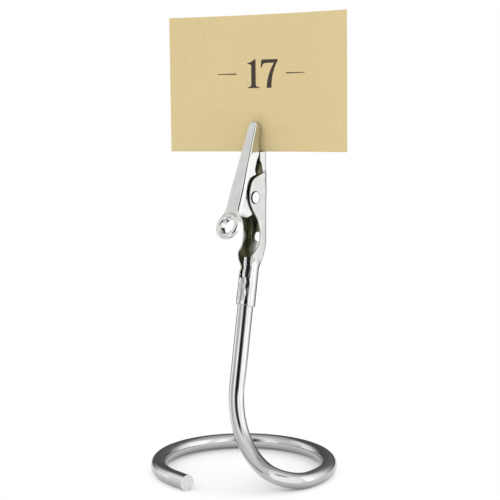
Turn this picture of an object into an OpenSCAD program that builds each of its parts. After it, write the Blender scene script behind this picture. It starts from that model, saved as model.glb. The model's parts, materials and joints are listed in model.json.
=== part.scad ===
// Place card holder: a wire stand bent from one rod, with a sprung clip crimped on its top that grips a card.
// Millimetres. The origin is the centre of the ring on the table, +Z is up, and the clip hinges about X.

/* [Wire stand] */
// Diameter of the wire
wire_d = 4.2; // [3.6:0.1:5]
// Radius of the ring, at the middle of the wire
ring_r = 23.2; // [20:0.1:28]
// Angle of the ring at which its loose end runs straight
tail_deg = 260; // [230:1:275]
// Length of the straight loose end
tail_len = 5.1; // [3:0.1:8]
// Angle of the ring at which the wire leaves it
leave_deg = -3; // [-10:1:8]
// Height at which the sweep ends and the straight stem starts
sweep_h = 23.5; // [20:0.5:28]
// Length of the lower bend's tangents as a share of the upper bend's
bend_share = 0.55; // [0.5:0.05:0.9]
// Distance of the stem's foot in front of the ring's centre
stem_fore = 2.8; // [1:0.1:5]
// Backward lean of the stem
stem_lean = 9.2; // [6:0.1:12]
// Height of the wire's top end
wire_top_h = 58; // [54:0.5:66]
// Chamfer on both cut ends of the wire
end_chamfer = 0.3; // [0.1:0.05:0.6]

/* [Clip body] */
// Thickness of the sheet that both jaws are pressed from
sheet_t = 0.45; // [0.35:0.05:0.5]
// Outer width across the ears
body_w = 6.35; // [6.1:0.05:7.2]
// Height of the hinge axis above the wire's top end
pivot_rise = 16.45; // [15.8:0.05:18]
// Distance from the hinge axis back to the outer face of the spine
spine_d = 5.4; // [5.1:0.1:5.8]
// Step of the spine behind the barrel, made up between the spine's hole and the neck
back_step = 0.8; // [0.5:0.05:1.1]
// Depth of the fixed jaw's flanges at the tip
jaw_tip_depth = 2.1; // [1.8:0.05:2.5]
// Reach of the fixed jaw above the hinge axis
jaw_reach = 20.2; // [19:0.1:23]
// Width of both jaws at the tip
tip_w = 2.7; // [2.3:0.1:3.1]
// Width of the fixed jaw just above the ears
jaw_w = 4.4; // [4:0.1:5]
// Radius of the ears
ear_r = 5.8; // [5.6:0.1:6.1]
// Distance of the ears' centre behind the hinge axis
ear_set = 3.8; // [3.6:0.1:3.9]
// Height of the ears' centre above the hinge axis
ear_rise = 0.5; // [0.3:0.05:0.7]
// Height of the throat, where the card's lower edge stands
throat_h = 11.9; // [11:0.1:12.5]
// Depth of the tail's flanges
tail_depth = 3.2; // [2.7:0.05:3.4]
// Depth of the flanges at the neck
neck_depth = 5.1; // [4.4:0.1:5.6]
// Drop from the hinge axis to the neck, where the spine turns into the barrel
neck_drop = 15.3; // [14.6:0.1:15.6]
// Drop from the hinge axis to the barrel's lower end
barrel_drop = 29.4; // [27:0.1:33]
// Length of the closed part of the barrel
barrel_len = 7.6; // [5:0.1:9]
// Reach of the open cradle's lips in front of the wire's axis
lip_reach = 1.45; // [0.8:0.05:1.8]
// Width of the seam down the closed barrel
seam_w = 0.2; // [0.1:0.05:0.4]
// Diameter of the hole in the spine
hole_d = 2.8; // [2:0.1:3.4]
// Drop from the hinge axis to the hole in the spine
hole_drop = 11.1; // [10:0.1:11.6]

/* [Lever jaw] */
// Forward lean of the lever's lower end, as the card holds it open
lever_lean = 20.5; // [18:0.1:22]
// Distance from the hinge axis forward to the outer face of the lever's web
web_d = 4.38; // [4.2:0.02:4.6]
// Width of the lever at the hinge
lever_w = 4.8; // [4.4:0.05:4.9]
// Reach of the lever's jaw along its web
lever_reach = 20; // [18.5:0.1:22]
// Distance along the web from the hinge axis to the lever's lowest tooth
lever_throat = 12.4; // [11.6:0.1:12.8]
// Depth of the lever's flanges at the tip
tip_depth = 2.1; // [1.7:0.05:2.3]
// Depth of the lever's flanges at the throat
throat_depth = 3.55; // [3.35:0.05:3.6]
// Drop of the flanges' lower edge, from the web to the toe
flange_drop = 6.1; // [5.7:0.1:6.4]
// Distance of the flanges' toe behind the hinge axis, before it where negative
toe_set = -0.55; // [-1:0.05:0]
// Drop of the flanges' lower edge at the heel
heel_drop = 4; // [3.4:0.1:4.6]
// Distance of the heel behind the hinge axis
heel_set = 1.9; // [1.4:0.1:2.2]
// Radius of the flanges' lobe round the hinge
lobe_r = 2.5; // [2:0.1:3]
// Distance along the web from the hinge axis to the finger pad's centre
pad_drop = 9.25; // [9:0.05:10.5]
// Outer diameter of the finger pad
pad_d = 7.8; // [7:0.1:8.4]
// Diameter of the hole in the finger pad
pad_hole_d = 4.2; // [3.6:0.1:4.8]
// Height of the pad's crest above the web
pad_rise = 0.5; // [0.3:0.05:0.7]
// Length of the straight skirts under the pad's bead
pad_skirt = 0.5; // [0.2:0.05:1]

/* [Teeth] */
// Distance from tooth to tooth
tooth_pitch = 1.3; // [1:0.05:1.5]
// Depth of the teeth
tooth_depth = 0.5; // [0.3:0.05:0.6]
// Number of teeth on each edge of the fixed jaw
fixed_teeth = 4; // [2:1:4]
// Number of teeth on each edge of the lever
lever_teeth = 5; // [2:1:5]

/* [Rivet and spring] */
// Diameter of the rivet's shank
rivet_d = 2; // [1.6:0.1:2.2]
// Diameter of the rivet's heads
head_d = 3.3; // [2.8:0.1:4]
// Height of the rivet's heads
head_h = 0.5; // [0.3:0.05:0.7]
// Diameter of the spring's wire
spring_d = 0.6; // [0.4:0.05:0.6]
// Mean diameter of the spring's coil
coil_d = 3.3; // [3.1:0.1:3.6]
// Clear gap between neighbouring turns
coil_gap = 0.45; // [0.42:0.01:0.5]
// Whole turns of the coil, besides the part turn between its legs
coil_turns = 2; // [1:1:2]
// Drop of the end of the spring's leg on the spine
spine_leg = 9; // [6:0.1:9.4]
// Distance along the web from the hinge axis to the end of the spring's leg on the lever
web_leg = 5; // [4:0.1:5.4]

/* [Place card] */
// Width of the card
card_w = 52.5; // [40:0.5:70]
// Height of the card
card_h = 36.25; // [28:0.25:50]
// Thickness of the card
card_t = 0.3; // [0.2:0.05:0.4]
// Radius of the card's curl
curl_r = 140; // [110:5:400]
// Turn of the card in the jaws
card_twist = 13.4; // [10:0.1:15]
// Tilt of the card in its own plane
card_roll = 0.7; // [0:0.1:2]
// Shift of the card's middle along its width
card_shift = 0.3; // [-3:0.1:3]

/* [Clearances] */
// Gap between the wire and the barrel crimped round it
crimp_gap = 0.02; // [0.01:0.01:0.05]
// Gap between the rivet and the ears that hold it
stake_gap = 0.02; // [0.01:0.01:0.05]
// Running gap between the rivet and the lever
hinge_gap = 0.05; // [0.02:0.01:0.1]
// Gap between the spring's legs and the sheet they press on
leg_gap = 0.08; // [0.05:0.01:0.15]
// Gap between the card and what grips it
card_gap = 0.06; // [0.04:0.01:0.1]
// Gap between the edges of the two jaws at the throat
jaw_gap = 0.16; // [0.1:0.01:0.3]

/* [Hidden] */
$fn = 64;
// Overrun of every cut past the face that it opens
cut_over = 1;
// Reach of the plain blanks that the jaws are cut from
blank_reach = 30;
// Overlap of the channel and the barrel below the neck
neck_lap = 0.6;
// Height over which the fixed jaw narrows, and its start below the ears' crown
joggle_h = 1.8;
joggle_lead = 0.9;
// Length of the faint collars that join the bends, and their step above the wire
collar_len = 0.4;
collar_step = 0.01;

// Places of the stand
ring_h = wire_d / 2 + collar_step;
stem_dir = [0, sin(stem_lean), cos(stem_lean)];
leave_dir = [sin(leave_deg), -cos(leave_deg), 0];
leave_p = [ring_r * cos(leave_deg), ring_r * sin(leave_deg), ring_h];
tail_dir = [-sin(tail_deg), cos(tail_deg), 0];
tail_p = [ring_r * cos(tail_deg), ring_r * sin(tail_deg), ring_h];
foot_p = [0, -stem_fore, sweep_h];
function stem_y(h) = (h - sweep_h) * tan(stem_lean) - stem_fore;

// Two bends that are tangent to the ring, to each other and to the stem make the sweep
chord = foot_p - leave_p;
turn_square = 2 * bend_share * (1 - leave_dir * stem_dir);
turn_linear = 2 * chord * (bend_share * leave_dir + stem_dir);
upper_len = (sqrt(turn_linear ^ 2 + 4 * turn_square * chord * chord) - turn_linear) / (2 * turn_square);
lower_len = bend_share * upper_len;
lower_p = leave_p + lower_len * leave_dir;
upper_p = foot_p - upper_len * stem_dir;
join_p = (upper_len * lower_p + lower_len * upper_p) / (lower_len + upper_len);

// Places of the clip
barrel_r = wire_d / 2 + crimp_gap + sheet_t;
pivot_h = wire_top_h + pivot_rise;
neck_back = spine_d - back_step;
pivot_y = stem_y(pivot_h - neck_drop) + barrel_r / cos(stem_lean) - neck_back;
barrel_h = pivot_h - barrel_drop;
sleeve_len = (barrel_drop - neck_drop) / cos(stem_lean);
ear_top = ear_rise + ear_r - joggle_lead;

// Half widths of each jaw by height, from its lower end to the middle of its round tip
fixed_sides = [
    [barrel_r, -neck_drop - neck_lap],
    [barrel_r, -neck_drop],
    [body_w / 2, -hole_drop - hole_d / 2],
    [body_w / 2, ear_top],
    [jaw_w / 2, ear_top + joggle_h],
    [tip_w / 2, jaw_reach - tip_w / 2]
];
lever_sides = [
    [lever_w / 2, -flange_drop - cut_over],
    [lever_w / 2, 0],
    [tip_w / 2, lever_reach - tip_w / 2]
];
function half_width(sides, h) = lookup(h, [for (s = sides) [s[1], s[0]]]);

// Edge of the lever's teeth, and the depth of a point of the lever behind the hinge axis
lever_slope = (throat_depth - tip_depth) / (lever_reach - lever_throat);
function tooth_line(w) = tip_depth - web_d + lever_slope * (lever_reach - w);
function lever_y(d, w) = d * cos(lever_lean) + w * sin(lever_lean);
function lever_z(d, w) = w * cos(lever_lean) - d * sin(lever_lean);

// The card stands just behind the rounded nose of the lever, whose far edge it meets first
nose_steps = 12;
nose_turns = [for (i = [0 : nose_steps]) 90 * i / nose_steps];
nose_mid = lever_reach - tip_w / 2;
function nose_w(a) = nose_mid + tip_w / 2 * sin(a);
function nose_y(a) = lever_y(tooth_line(nose_w(a)), nose_w(a)) + tip_w / 2 * cos(a) * tan(card_twist);
half_card = card_t / 2 / cos(card_twist);
card_y = max([for (a = nose_turns) nose_y(a)]) + half_card + card_gap;
card_mid_h = pivot_h + throat_h + card_gap + card_h / 2;
function grip_y(h) = card_y + half_width(fixed_sides, h) * tan(card_twist) + half_card + card_gap;
// The spine leans back from the hinge so that the fixed jaw's teeth just meet the card
jaw_lean = atan2(grip_y(jaw_reach) + jaw_tip_depth - spine_d, jaw_reach);

// Free edges of the jaws between hinge and throat, as shares of the spine or web distance and of the throat
fixed_relief_shares = [[0.62, 0.505], [0.72, 0.535], [0.74, 0.726], [0.67, 0.817]];
lever_relief_shares = [[0.11, 0.481], [-0.233, 0.56], [-0.22, 0.75], [-0.205, 0.823], [-0.14, 0.927]];
// Shoulder under the card, which starts just behind the lever's lowest tooth
shoulder_share = 0.887;
shoulder_y = lever_y(tooth_line(lever_throat), lever_throat) + jaw_gap;

// Rising row of teeth that ends at a jaw's tip, from its tip line and the direction of its gullets
function tooth_row(tips, gullet) = [for (p = tips) each [p, p + [gullet, tooth_pitch / 2]]];
fixed_tip_heights = [for (i = [fixed_teeth : -1 : 1]) jaw_reach - i * tooth_pitch];
lever_tip_heights = [for (i = [lever_teeth : -1 : 1]) lever_reach - i * tooth_pitch];

// Side outlines of the jaws, as [depth, height]
fixed_outline = concat(
    [
        [blank_reach, -neck_drop - neck_lap],
        [neck_back - neck_depth, -neck_drop - neck_lap],
        [neck_back - neck_depth, -neck_drop],
        [spine_d - tail_depth, -hole_drop - hole_d / 2],
        [spine_d - tail_depth, 0]
    ],
    [for (s = fixed_relief_shares) [s[0] * spine_d, s[1] * throat_h]],
    [[shoulder_y, shoulder_share * throat_h], [shoulder_y, throat_h], [grip_y(throat_h), throat_h]],
    tooth_row([for (h = fixed_tip_heights) [grip_y(h), h]], tooth_depth),
    [[grip_y(jaw_reach), jaw_reach], [blank_reach, jaw_reach]]
);
lever_outline = concat(
    [[-web_d, -flange_drop], [toe_set, -flange_drop], [heel_set, -heel_drop]],
    [for (s = lever_relief_shares) [s[0] * web_d, s[1] * lever_throat]],
    [[tooth_line(lever_throat), lever_throat]],
    tooth_row([for (w = lever_tip_heights) [tooth_line(w), w]], -tooth_depth),
    [[tooth_line(lever_reach), lever_reach], [-web_d, lever_reach]]
);
// Space in front of the spine, set in from its outer face
function before_spine(inset) = [
    [neck_back - inset, -blank_reach],
    [neck_back - inset, -neck_drop],
    [spine_d - inset, -hole_drop - hole_d / 2],
    [spine_d - inset, 0],
    [spine_d - inset + blank_reach * tan(jaw_lean), blank_reach],
    [-blank_reach, blank_reach],
    [-blank_reach, -blank_reach]
];

// Path of the spring: up its leg on the spine, round the coil, and down its leg on the lever's web
coil_r = coil_d / 2;
spring_pitch = spring_d + coil_gap;
curl_rings = 8;
tube_sides = 6;
spine_end = [spine_d - sheet_t - leg_gap - spring_d / 2, -spine_leg];
web_set = sheet_t + leg_gap + spring_d / 2 - web_d;
web_end = [lever_y(web_set, -web_leg), lever_z(web_set, -web_leg)];
function tangent_angle(p, side) = atan2(p[1], p[0]) + side * acos(coil_r / norm(p));
start_angle = tangent_angle(spine_end, 1);
end_angle = tangent_angle(web_end, -1) + 360 * (coil_turns + 1);
coil_w = spring_pitch * (end_angle - start_angle) / 360;
coil_steps = ceil(curl_rings * (end_angle - start_angle) / 360);
coil_angles = [for (i = [0 : coil_steps]) start_angle + i * (end_angle - start_angle) / coil_steps];
function coil_x(a) = coil_w * ((a - start_angle) / (end_angle - start_angle) - 1 / 2);
// Each ring has its centre and the angle that it faces
spring_rings = concat(
    [[[-coil_w / 2, spine_end[0], spine_end[1]], start_angle]],
    [for (a = coil_angles) [[coil_x(a), coil_r * cos(a), coil_r * sin(a)], a]],
    [[[coil_w / 2, web_end[0], web_end[1]], end_angle]]
);
function ring_point(ring, turn) =
    ring[0] + spring_d / 2 * [sin(turn), cos(turn) * cos(ring[1]), cos(turn) * sin(ring[1])];
spring_points = [
    for (ring = spring_rings, i = [0 : tube_sides - 1]) ring_point(ring, 360 * i / tube_sides)
];
last_ring = (len(spring_rings) - 1) * tube_sides;
function side_faces(first, i) =
    let (a = first + i, b = first + (i + 1) % tube_sides)
    [[a, b, b + tube_sides], [a, b + tube_sides, a + tube_sides]];
spring_faces = concat(
    [for (i = [1 : tube_sides - 2]) [0, i + 1, i]],
    [for (first = [0 : tube_sides : last_ring - 1], i = [0 : tube_sides - 1]) each side_faces(first, i)],
    [for (i = [1 : tube_sides - 2]) [last_ring, last_ring + i, last_ring + i + 1]]
);

// Least gap of the spring to itself, measured between rings more than half a turn apart
spring_middles = [for (ring = spring_rings) ring[0]];
far_gaps = [
    for (i = [0 : len(spring_middles) - 1], k = [i + curl_rings / 2 + 1 : 1 : len(spring_middles) - 1])
        norm(spring_middles[i] - spring_middles[k]) - spring_d
];
echo(least_spring_gap = min(far_gaps));  // torsion_spring

module at_hinge() {
    translate([0, pivot_y, pivot_h]) children();
}

module on_lever() {
    at_hinge() rotate([-lever_lean, 0, 0]) children();
}

module on_stem() {
    translate([0, stem_y(barrel_h), barrel_h]) rotate([-stem_lean, 0, 0]) children();
}

// Round bar along the hinge axis
module cross_bar(r, length) {
    rotate([0, 90, 0]) cylinder(h = length, r = r, center = true);
}

// Plate whose outline is seen from the side, as [depth, height]
module side_plate(width, outline) {
    rotate([90, 0, 90]) linear_extrude(width, center = true) polygon(outline);
}

// Blank whose outline is seen from the front: a tapered bar with a round tip, narrowed by an inset
module front_blank(sides, inset) {
    right = [for (s = sides) [s[0] - inset, s[1]]];
    left = [for (i = [len(sides) - 1 : -1 : 0]) [inset - sides[i][0], sides[i][1]]];
    rotate([90, 0, 0]) {
        linear_extrude(2 * blank_reach, center = true) polygon(concat(right, left));
        translate([0, sides[len(sides) - 1][1], 0])
            cylinder(h = 2 * blank_reach, r = tip_w / 2 - inset, center = true);
    }
}

// Turns the vertical to a direction at a place
module along(place, direction) {
    translate(place) rotate([0, acos(direction[2]), atan2(direction[1], direction[0])]) children();
}

// Faint collar that joins two stretches of wire
module wire_collar(place, direction) {
    along(place, direction) cylinder(h = collar_len, d = wire_d + 2 * collar_step, center = true);
}

// Straight wire that ends in a chamfer
module cut_wire(length) {
    cylinder(h = length - end_chamfer, d = wire_d);
    translate([0, 0, length - end_chamfer])
        cylinder(h = end_chamfer, d1 = wire_d, d2 = wire_d - 2 * end_chamfer);
}

// Wire bent in an arc between two points, whose tangents meet at the corner
module bent_wire(from, corner, to) {
    middle = (from + to) / 2;
    half_chord = norm(to - from) / 2;
    half_turn = atan2(norm(corner - middle), half_chord);
    r = half_chord / sin(half_turn);
    centre = middle - r * cos(half_turn) * (corner - middle) / norm(corner - middle);
    x = (from - centre) / r;
    y = (corner - from) / norm(corner - from);
    z = cross(x, y);
    multmatrix([[x[0], y[0], z[0], centre[0]], [x[1], y[1], z[1], centre[1]], [x[2], y[2], z[2], centre[2]]])
        rotate_extrude(angle = 2 * half_turn) translate([r, 0]) circle(d = wire_d);
}

module wire_stand() {
    color("silver") union() {
        translate([0, 0, ring_h]) rotate([0, 0, leave_deg])
            rotate_extrude(angle = tail_deg - leave_deg) translate([ring_r, 0]) circle(d = wire_d);
        along(tail_p, tail_dir) cut_wire(tail_len);
        bent_wire(leave_p, lower_p, join_p);
        bent_wire(join_p, upper_p, foot_p);
        along(foot_p, stem_dir) cut_wire((wire_top_h - sweep_h) / cos(stem_lean));
        wire_collar(tail_p, tail_dir);
        wire_collar(leave_p, leave_dir);
        wire_collar(join_p, (upper_p - lower_p) / norm(upper_p - lower_p));
        wire_collar(foot_p, stem_dir);
    }
}

// Channel of the fixed jaw, from the neck to the tip, with its two ears
module fixed_channel() {
    difference() {
        intersection() {
            union() {
                side_plate(2 * body_w, fixed_outline);
                translate([0, ear_set, ear_rise]) cross_bar(ear_r, 2 * body_w);
            }
            side_plate(2 * body_w, before_spine(0));
            front_blank(fixed_sides, 0);
        }
        intersection() {
            side_plate(2 * body_w, before_spine(sheet_t));
            front_blank(fixed_sides, sheet_t);
        }
    }
}

// Barrel round the wire: closed and seamed below, an open cradle above
module crimp_barrel() {
    difference() {
        cylinder(h = sleeve_len, r = barrel_r);
        translate([0, 0, -cut_over]) cylinder(h = sleeve_len + 2 * cut_over, r = barrel_r - sheet_t);
        translate([-seam_w / 2, -barrel_r - cut_over, -cut_over])
            cube([seam_w, barrel_r + cut_over, sleeve_len + 2 * cut_over]);
        translate([-barrel_r - cut_over, -barrel_r - cut_over, barrel_len])
            cube([2 * (barrel_r + cut_over), barrel_r + cut_over - lip_reach, sleeve_len]);
    }
}

module fixed_jaw() {
    color("gainsboro") difference() {
        union() {
            at_hinge() fixed_channel();
            on_stem() crimp_barrel();
        }
        at_hinge() {
            cross_bar(rivet_d / 2 + stake_gap, 2 * body_w);
            translate([0, spine_d, -hole_drop]) rotate([90, 0, 0])
                cylinder(h = 2 * (sheet_t + cut_over), d = hole_d, center = true);
        }
    }
}

// Ring bead of the finger pad, arched over its crest with a skirt on both sides
module pad_bead() {
    bead_r = (pad_d - pad_hole_d) / 4;
    rotate_extrude() {
        translate([pad_hole_d / 2 + bead_r, 0]) intersection() {
            difference() {
                circle(r = bead_r);
                circle(r = bead_r - sheet_t);
            }
            translate([-bead_r, 0]) square([2 * bead_r, bead_r]);
        }
        translate([pad_hole_d / 2, -pad_skirt]) square([sheet_t, pad_skirt]);
        translate([pad_d / 2 - sheet_t, -pad_skirt]) square([sheet_t, pad_skirt]);
    }
}

// Channel of the lever, from its heel to the tip
module lever_channel() {
    difference() {
        intersection() {
            union() {
                side_plate(2 * body_w, lever_outline);
                cross_bar(lobe_r, 2 * body_w);
            }
            front_blank(lever_sides, 0);
        }
        intersection() {
            translate([-body_w, sheet_t - web_d, -blank_reach])
                cube([2 * body_w, blank_reach, 2 * blank_reach]);
            front_blank(lever_sides, sheet_t);
        }
        cross_bar(rivet_d / 2 + hinge_gap, 2 * body_w);
    }
}

module lever_jaw() {
    pad_base = (pad_d - pad_hole_d) / 4 - pad_rise - web_d;
    color("gainsboro") on_lever() {
        lever_channel();
        difference() {
            translate([-lever_w / 2, -web_d, -pad_drop])
                cube([lever_w, sheet_t, pad_drop - flange_drop + sheet_t]);
            translate([0, -web_d, -pad_drop]) rotate([90, 0, 0])
                cylinder(h = 2 * (sheet_t + cut_over), d = pad_d - sheet_t, center = true);
        }
        translate([0, pad_base, -pad_drop]) rotate([90, 0, 0]) pad_bead();
    }
}

// Domed head that stands on an ear
module rivet_head() {
    dome_r = (head_d ^ 2 / 4 + head_h ^ 2) / (2 * head_h);
    intersection() {
        translate([0, 0, head_h - dome_r]) sphere(r = dome_r);
        cylinder(h = head_h, d = head_d);
    }
}

module pivot_rivet() {
    color("silver") at_hinge() {
        cross_bar(rivet_d / 2, body_w);
        for (side = [0, 1])
            mirror([side, 0, 0]) translate([body_w / 2, 0, 0]) rotate([0, 90, 0]) rivet_head();
    }
}

module torsion_spring() {
    color("dimgray") at_hinge() polyhedron(points = spring_points, faces = spring_faces);
}

module place_card() {
    curl_turn = card_w / curl_r * 180 / PI;
    shift_turn = card_shift / curl_r * 180 / PI;
    color("#dcc690") translate([0, pivot_y + card_y, card_mid_h]) rotate([0, -card_roll, card_twist])
        translate([0, -curl_r, 0]) rotate([0, 0, 90 - curl_turn / 2 - shift_turn])
            rotate_extrude(angle = curl_turn)
                translate([curl_r - card_t / 2, -card_h / 2]) square([card_t, card_h]);
}

wire_stand();
fixed_jaw();
lever_jaw();
pivot_rivet();
torsion_spring();
place_card();
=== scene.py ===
import json
import math
import bmesh
import bpy
from mathutils import Matrix, Vector, noise


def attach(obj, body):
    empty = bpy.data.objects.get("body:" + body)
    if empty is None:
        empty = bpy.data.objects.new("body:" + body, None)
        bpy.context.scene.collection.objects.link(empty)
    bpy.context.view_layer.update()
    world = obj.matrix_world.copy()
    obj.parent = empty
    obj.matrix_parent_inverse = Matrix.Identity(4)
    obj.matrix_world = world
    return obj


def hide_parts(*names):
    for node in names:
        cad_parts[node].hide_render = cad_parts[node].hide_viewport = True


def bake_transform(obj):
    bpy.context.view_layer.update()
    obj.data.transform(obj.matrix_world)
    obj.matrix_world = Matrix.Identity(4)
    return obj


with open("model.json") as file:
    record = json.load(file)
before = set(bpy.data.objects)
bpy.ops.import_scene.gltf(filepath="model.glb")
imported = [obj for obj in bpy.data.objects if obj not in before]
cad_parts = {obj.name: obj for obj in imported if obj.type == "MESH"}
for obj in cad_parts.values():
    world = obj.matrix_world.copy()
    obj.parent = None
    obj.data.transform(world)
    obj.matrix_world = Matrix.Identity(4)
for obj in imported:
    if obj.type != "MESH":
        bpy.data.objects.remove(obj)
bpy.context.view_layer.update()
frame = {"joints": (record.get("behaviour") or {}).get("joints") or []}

mm = 0.001
hinge = next(j for j in frame["joints"] if j["name"] == "lever_hinge")
pivot = Vector(hinge["pos_m"])
pivotMm = pivot / mm
print("frame loaded, hinge axis at", tuple(round(c / mm, 2) for c in pivot), "mm")


# small helpers

def smoothStep(low, high, value):
    t = min(max((value - low) / (high - low), 0.0), 1.0)
    return t * t * (3 - 2 * t)


def mix(a, b, t):
    return a + (b - a) * t


def hump(middle, width, value):
    # bell of height 1
    return math.exp(-((value - middle) / width) ** 2)


def curveThrough(points, x):
    # smooth curve through [x, y] points without overshoot (monotone cubic)
    n = len(points)
    if x <= points[0][0]:
        return points[0][1]
    if x >= points[-1][0]:
        return points[-1][1]
    gaps = [points[i + 1][0] - points[i][0] for i in range(n - 1)]
    rises = [(points[i + 1][1] - points[i][1]) / gaps[i] for i in range(n - 1)]
    slopes = [rises[0]]
    for i in range(1, n - 1):
        both = rises[i - 1] * rises[i]
        slopes.append(0.0 if both <= 0 else 2 * both / (rises[i - 1] + rises[i]))
    slopes.append(rises[-1])
    i = max(k for k in range(n - 1) if points[k][0] <= x)
    t = (x - points[i][0]) / gaps[i]
    low, high = points[i][1], points[i + 1][1]
    return (low * (1 + 2 * t) * (1 - t) ** 2 + high * t * t * (3 - 2 * t)
            + gaps[i] * (slopes[i] * t * (1 - t) ** 2 + slopes[i + 1] * t * t * (t - 1)))


def steps(low, high, step):
    count = max(1, round((high - low) / step))
    return [low + (high - low) * i / count for i in range(count + 1)]


def stepRuns(runs):
    return [value for run in runs for value in steps(*run)]


def newObject(name, mesh):
    obj = bpy.data.objects.new(name, mesh)
    bpy.context.scene.collection.objects.link(obj)
    return obj


def meshFrom(name, points, faces):
    mesh = bpy.data.meshes.new(name)
    mesh.from_pydata([Vector(p) * mm for p in points], [], faces)
    return mesh


def meshFromWork(name, work):
    mesh = bpy.data.meshes.new(name)
    work.to_mesh(mesh)
    work.free()
    return mesh


def tidyMesh(mesh, merge=0.002, sharpAngle=32):
    # merges doubles, turns faces outwards and shades smooth with sharp creases
    work = bmesh.new()
    work.from_mesh(mesh)
    bmesh.ops.remove_doubles(work, verts=work.verts, dist=merge * mm)
    bmesh.ops.dissolve_degenerate(work, edges=work.edges, dist=merge * mm / 4)
    bmesh.ops.recalc_face_normals(work, faces=work.faces)
    for face in work.faces:
        face.smooth = True
    work.to_mesh(mesh)
    work.free()
    mesh.set_sharp_from_angle(angle=math.radians(sharpAngle))
    mesh.update()


def plainMesh(obj):
    # the evaluated object as a plain mesh, with its modifiers gone
    depsgraph = bpy.context.evaluated_depsgraph_get()
    mesh = bpy.data.meshes.new_from_object(obj.evaluated_get(depsgraph))
    obj.modifiers.clear()
    old = obj.data
    obj.data = mesh
    bpy.data.meshes.remove(old)


def boolean(obj, other, operation):
    modifier = obj.modifiers.new(operation.lower(), "BOOLEAN")
    modifier.operation = operation
    modifier.solver = "EXACT"
    modifier.object = other
    plainMesh(obj)
    bpy.data.objects.remove(other)


def rod(name, radius, start, end, sides=64):
    # closed cylinder between two points in mm
    axis = Vector(end) - Vector(start)
    work = bmesh.new()
    bmesh.ops.create_cone(work, cap_ends=True, segments=sides, radius1=radius * mm,
                          radius2=radius * mm, depth=axis.length * mm)
    turn = axis.to_track_quat("Z", "Y").to_matrix().to_4x4()
    work.transform(Matrix.Translation((Vector(start) + Vector(end)) * mm / 2) @ turn)
    return newObject(name, meshFromWork(name, work))


def turnedMesh(name, profile, sides, place, closed):
    # turns (radius, along) points once round: place gives the point of a turned pair and along
    points, faces, count = [], [], len(profile)
    for k in range(sides):
        a = 2 * math.pi * k / sides
        points += [place(r * math.cos(a), r * math.sin(a), along) for r, along in profile]
    for k in range(sides):
        m = (k + 1) % sides
        for i in range(count if closed else count - 1):
            n = (i + 1) % count
            faces.append((k * count + i, k * count + n, m * count + n, m * count + i))
    mesh = meshFrom(name, points, faces)
    tidyMesh(mesh)
    return mesh


# face attribute for the marked faces, which the plating makes darker and less metallic: painted shade in the
# clip's channels, bare steel on the wire's cut ends
def markDullAndShade(mesh, isDull):
    # face attribute that the plating's dull film reads
    mark = mesh.attributes.new("dullAndShade", "FLOAT", "FACE")
    mark.data.foreach_set("value", [float(isDull(face)) for face in mesh.polygons])


def finishPiece(obj, body, node, material):
    obj.data.materials.clear()
    obj.data.materials.append(material)
    if body:
        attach(obj, body)
    if node:
        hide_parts(node)
    print("piece", obj.name, len(obj.data.polygons), "faces")


# materials

def clearTree(owner, outKind):
    # empty node tree of a material or world, with its output
    owner.use_nodes = True
    owner.node_tree.nodes.clear()
    return owner.node_tree, owner.node_tree.nodes.new(outKind)


def setInputs(tree, node, inputs):
    # each input gets a value, or a link from a socket
    for key, value in inputs.items():
        if isinstance(value, bpy.types.NodeSocket):
            tree.links.new(value, node.inputs[key])
        else:
            node.inputs[key].default_value = value


def addNode(tree, kind, inputs=None, **settings):
    node = tree.nodes.new(kind)
    for key, value in settings.items():
        setattr(node, key, value)
    setInputs(tree, node, inputs or {})
    return node


def newMaterial(name):
    material = bpy.data.materials.new(name)
    tree, out = clearTree(material, "ShaderNodeOutputMaterial")
    shader = addNode(tree, "ShaderNodeBsdfPrincipled")
    setInputs(tree, out, {0: shader.outputs[0]})
    return material, tree, shader


def addNoise(tree, scale, detail=3.0, roughness=0.5, stretch=(1, 1, 1), turn=(0, 0, 0)):
    # noise on Object coordinates, scale is per metre
    coords = addNode(tree, "ShaderNodeTexCoord")
    mapping = addNode(tree, "ShaderNodeMapping", {
        "Vector": coords.outputs["Object"], "Scale": stretch, "Rotation": [math.radians(a) for a in turn]})
    texture = addNode(tree, "ShaderNodeTexNoise", {
        "Vector": mapping.outputs["Vector"], "Scale": scale, "Detail": detail, "Roughness": roughness})
    return texture.outputs["Fac"]


def addRange(tree, source, low, high, start=0.3, end=0.7, **settings):
    node = addNode(tree, "ShaderNodeMapRange", {
        "Value": source, "From Min": start, "From Max": end, "To Min": low, "To Max": high}, **settings)
    return node.outputs["Result"]


def addRamp(tree, source, low, high, start=0.3, end=0.7):
    node = addNode(tree, "ShaderNodeValToRGB", {"Fac": source})
    for element, position, colour in zip(node.color_ramp.elements, (start, end), (low, high)):
        element.position = position
        element.color = (*colour, 1)
    return node.outputs["Color"]


def addBump(tree, height, strength, distance, under=None):
    node = addNode(tree, "ShaderNodeBump", {
        "Height": height, "Strength": strength, "Distance": distance * mm})
    if under:
        setInputs(tree, node, {"Normal": under})
    return node.outputs["Normal"]


def addBlend(tree, factor, first, second, kind="MIX"):
    inputs = {"Factor": factor, "A": first, "B": second}
    return addNode(tree, "ShaderNodeMix", inputs, data_type="RGBA", blend_type=kind).outputs["Result"]


def addMath(tree, operation, *inputs):
    return addNode(tree, "ShaderNodeMath", dict(enumerate(inputs)), operation=operation).outputs[0]


def addLength(tree, vector):
    return addNode(tree, "ShaderNodeVectorMath", {0: vector}, operation="LENGTH").outputs["Value"]


def addDistance(tree, point, weights):
    # distance from a point in Object coordinates
    coords = addNode(tree, "ShaderNodeTexCoord")
    offset = addNode(tree, "ShaderNodeMapping", {
        "Vector": coords.outputs["Object"], "Location": [-c * w for c, w in zip(point, weights)],
        "Scale": weights})
    return addLength(tree, offset.outputs["Vector"])


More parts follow.
